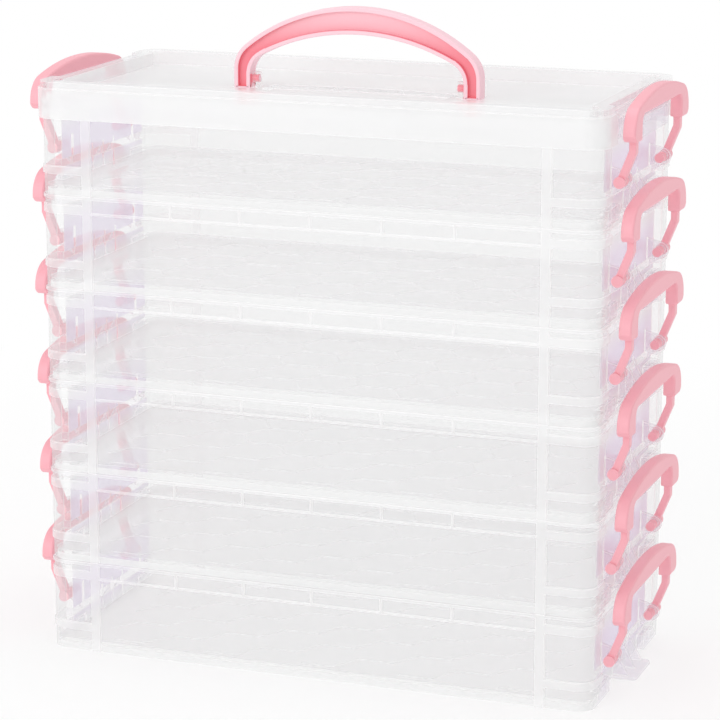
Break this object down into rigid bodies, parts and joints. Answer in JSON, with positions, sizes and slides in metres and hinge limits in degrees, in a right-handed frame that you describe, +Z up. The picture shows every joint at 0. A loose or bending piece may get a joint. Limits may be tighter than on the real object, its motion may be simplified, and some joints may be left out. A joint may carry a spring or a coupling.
{
  "type": "stacking art supply box",
  "caption": "Clear stacking supply box of shallow trays under a lid with a folding carry handle; swing latches on both ends lock each tray to the one above.",
  "frame": {"origin": "middle of the box's footprint, on the surface it stands on", "axes": "+X along the box to the right end as seen from the front, +Y from the front to the back, +Z up"},
  "size_m": [0.396, 0.175, 0.416],
  "materials": {
    "clear_plastic": "clear, slightly milky polypropylene with a gloss",
    "pink_plastic": "opaque pale pink, satin gloss"
  },
  "bodies": {
    "tray_1": {"tray_1": "clear_plastic"},
    "tray_2": {"tray_2": "clear_plastic"},
    "tray_3": {"tray_3": "clear_plastic"},
    "tray_4": {"tray_4": "clear_plastic"},
    "tray_5": {"tray_5": "clear_plastic"},
    "tray_6": {"tray_6": "clear_plastic"},
    "lid": {"lid": "clear_plastic"},
    "handle": {"handle": "pink_plastic"},
    "latch_1_right": {"latch_1_right": "pink_plastic"},
    "latch_1_left": {"latch_1_left": "pink_plastic"},
    "latch_2_right": {"latch_2_right": "pink_plastic"},
    "latch_2_left": {"latch_2_left": "pink_plastic"},
    "latch_3_right": {"latch_3_right": "pink_plastic"},
    "latch_3_left": {"latch_3_left": "pink_plastic"},
    "latch_4_right": {"latch_4_right": "pink_plastic"},
    "latch_4_left": {"latch_4_left": "pink_plastic"},
    "latch_5_right": {"latch_5_right": "pink_plastic"},
    "latch_5_left": {"latch_5_left": "pink_plastic"},
    "latch_6_right": {"latch_6_right": "pink_plastic"},
    "latch_6_left": {"latch_6_left": "pink_plastic"}
  },
  "joints": [
    {"name": "lift_1", "type": "slide", "parent": "tray_1", "child": "lid", "axis": [0, 0, 1], "range_m": [0, 0.03]},
    {"name": "latch_1_right_swing", "type": "hinge", "parent": "tray_1", "child": "latch_1_right", "pos_m": [0.1865, 0, 0.325], "axis": [0, 1, 0], "range_deg": [0, 90]},
    {"name": "latch_1_left_swing", "type": "hinge", "parent": "tray_1", "child": "latch_1_left", "pos_m": [-0.1865, 0, 0.325], "axis": [0, -1, 0], "range_deg": [0, 90]},
    {"name": "lift_2", "type": "slide", "parent": "tray_2", "child": "tray_1", "axis": [0, 0, 1], "range_m": [0, 0.03]},
    {"name": "latch_2_right_swing", "type": "hinge", "parent": "tray_2", "child": "latch_2_right", "pos_m": [0.1865, 0, 0.265], "axis": [0, 1, 0], "range_deg": [0, 90]},
    {"name": "latch_2_left_swing", "type": "hinge", "parent": "tray_2", "child": "latch_2_left", "pos_m": [-0.1865, 0, 0.265], "axis": [0, -1, 0], "range_deg": [0, 90]},
    {"name": "lift_3", "type": "slide", "parent": "tray_3", "child": "tray_2", "axis": [0, 0, 1], "range_m": [0, 0.03]},
    {"name": "latch_3_right_swing", "type": "hinge", "parent": "tray_3", "child": "latch_3_right", "pos_m": [0.1865, 0, 0.205], "axis": [0, 1, 0], "range_deg": [0, 90]},
    {"name": "latch_3_left_swing", "type": "hinge", "parent": "tray_3", "child": "latch_3_left", "pos_m": [-0.1865, 0, 0.205], "axis": [0, -1, 0], "range_deg": [0, 90]},
    {"name": "lift_4", "type": "slide", "parent": "tray_4", "child": "tray_3", "axis": [0, 0, 1], "range_m": [0, 0.03]},
    {"name": "latch_4_right_swing", "type": "hinge", "parent": "tray_4", "child": "latch_4_right", "pos_m": [0.1865, 0, 0.145], "axis": [0, 1, 0], "range_deg": [0, 90]},
    {"name": "latch_4_left_swing", "type": "hinge", "parent": "tray_4", "child": "latch_4_left", "pos_m": [-0.1865, 0, 0.145], "axis": [0, -1, 0], "range_deg": [0, 90]},
    {"name": "lift_5", "type": "slide", "parent": "tray_5", "child": "tray_4", "axis": [0, 0, 1], "range_m": [0, 0.03]},
    {"name": "latch_5_right_swing", "type": "hinge", "parent": "tray_5", "child": "latch_5_right", "pos_m": [0.1865, 0, 0.085], "axis": [0, 1, 0], "range_deg": [0, 90]},
    {"name": "latch_5_left_swing", "type": "hinge", "parent": "tray_5", "child": "latch_5_left", "pos_m": [-0.1865, 0, 0.085], "axis": [0, -1, 0], "range_deg": [0, 90]},
    {"name": "lift_6", "type": "slide", "parent": "tray_6", "child": "tray_5", "axis": [0, 0, 1], "range_m": [0, 0.03]},
    {"name": "latch_6_right_swing", "type": "hinge", "parent": "tray_6", "child": "latch_6_right", "pos_m": [0.1865, 0, 0.025], "axis": [0, 1, 0], "range_deg": [0, 90]},
    {"name": "latch_6_left_swing", "type": "hinge", "parent": "tray_6", "child": "latch_6_left", "pos_m": [-0.1865, 0, 0.025], "axis": [0, -1, 0], "range_deg": [0, 90]},
    {"name": "handle_fold", "type": "hinge", "parent": "lid", "child": "handle", "pos_m": [0, 0, 0.368], "axis": [1, 0, 0], "range_deg": [-90, 90]}
  ],
  "couplings": [
    {"joint": "latch_1_right_swing", "follows": "lift_1", "rad_per_m": 52.35},
    {"joint": "latch_1_left_swing", "follows": "lift_1", "rad_per_m": 52.35},
    {"joint": "latch_2_right_swing", "follows": "lift_2", "rad_per_m": 52.35},
    {"joint": "latch_2_left_swing", "follows": "lift_2", "rad_per_m": 52.35},
    {"joint": "latch_3_right_swing", "follows": "lift_3", "rad_per_m": 52.35},
    {"joint": "latch_3_left_swing", "follows": "lift_3", "rad_per_m": 52.35},
    {"joint": "latch_4_right_swing", "follows": "lift_4", "rad_per_m": 52.35},
    {"joint": "latch_4_left_swing", "follows": "lift_4", "rad_per_m": 52.35},
    {"joint": "latch_5_right_swing", "follows": "lift_5", "rad_per_m": 52.35},
    {"joint": "latch_5_left_swing", "follows": "lift_5", "rad_per_m": 52.35},
    {"joint": "latch_6_right_swing", "follows": "lift_6", "rad_per_m": 52.35},
    {"joint": "latch_6_left_swing", "follows": "lift_6", "rad_per_m": 52.35}
  ]
}
